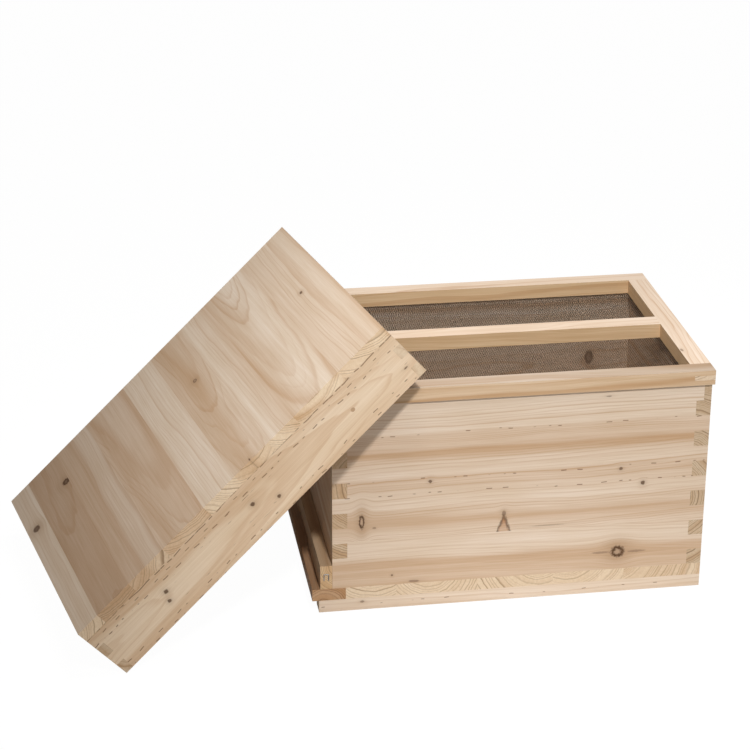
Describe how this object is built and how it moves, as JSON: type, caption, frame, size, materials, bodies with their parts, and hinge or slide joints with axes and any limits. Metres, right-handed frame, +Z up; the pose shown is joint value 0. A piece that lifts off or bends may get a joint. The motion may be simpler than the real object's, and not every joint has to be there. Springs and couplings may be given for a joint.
{
  "type": "wooden beehive",
  "caption": "Finger-jointed wooden hive box on a fixed floor, with a framed wire-screen inner cover and a deep flat cover leaning against its entrance end.",
  "frame": {"origin": "Middle of the front runner's underside, on the ground, midway along the hive box.", "axes": "+X along the box away from its entrance end, +Y from the front wall to the back wall, +Z up."},
  "size_m": [0.9265, 0.4969, 0.4262],
  "materials": {
    "fir": "bare planed fir, honey cream",
    "fir_pale": "bare planed fir, pale cream",
    "fir_pink": "bare planed fir, pinkish heartwood",
    "fir_dark": "bare planed fir, darker heartwood",
    "knot": "dark dead knot",
    "steel_wire": "plain steel wire",
    "screen_wire": "dull woven steel wire"
  },
  "bodies": {
    "hive": {"front_lower_board": "fir", "front_middle_board": "fir", "front_upper_board": "fir", "back_lower_board": "fir", "back_middle_board": "fir", "back_upper_board": "fir", "entrance_end_board": "fir_pink", "rear_end_board": "fir", "floor_board_1": "fir_dark", "floor_board_2": "fir_pale", "floor_board_3": "fir", "floor_board_4": "fir_pale", "floor_board_5": "fir", "floor_board_6": "fir_pink", "front_runner": "fir_pale", "back_runner": "fir_pale", "floor_nails": "steel_wire"},
    "screen_cover": {"screen_front_rail": "fir_pale", "screen_back_rail": "fir_pale", "screen_left_rail": "fir_pale", "screen_right_rail": "fir_pale", "screen_middle_bar": "fir_pale", "screen_mesh": "screen_wire", "screen_staples": "steel_wire"},
    "entrance_reducer": {"entrance_block": "fir_pink", "block_staple": "steel_wire"},
    "knot": {"lid_knot": "knot"},
    "cover": {"lid_front_rail": "fir", "lid_back_rail": "fir", "lid_lower_rail": "fir_pink", "lid_upper_rail": "fir", "lid_board_1": "fir_dark", "lid_board_2": "fir_pink", "lid_board_3": "fir", "lid_board_4": "fir_pink", "lid_board_5": "fir", "lid_board_6": "fir_pink", "lid_board_7": "fir", "lid_board_8": "fir_pale", "lid_board_9": "fir"}
  },
  "joints": [
    {"name": "screen_lift", "type": "slide", "parent": "hive", "child": "screen_cover", "axis": [0, 0, 1], "range_m": [0, 0.12]},
    {"name": "entrance_slide", "type": "slide", "parent": "hive", "child": "entrance_reducer", "axis": [-1, 0, 0], "range_m": [0, 0.06]},
    {"name": "lid_carry", "type": "hinge", "parent": "screen_cover", "child": "knot", "pos_m": [-0.0321, -0.04449, 0.30418], "axis": [-0.1011, 0.9949, 0.0018], "range_deg": [0, 182]},
    {"name": "lid_level", "type": "hinge", "parent": "knot", "child": "cover", "pos_m": [-0.23479, -0.0651, 0.31945], "axis": [-0.2011, 0.9796, 0], "range_deg": [-140.41, 0]}
  ],
  "couplings": [
    {"joint": "lid_level", "follows": "lid_carry", "ratio": -0.77149}
  ]
}
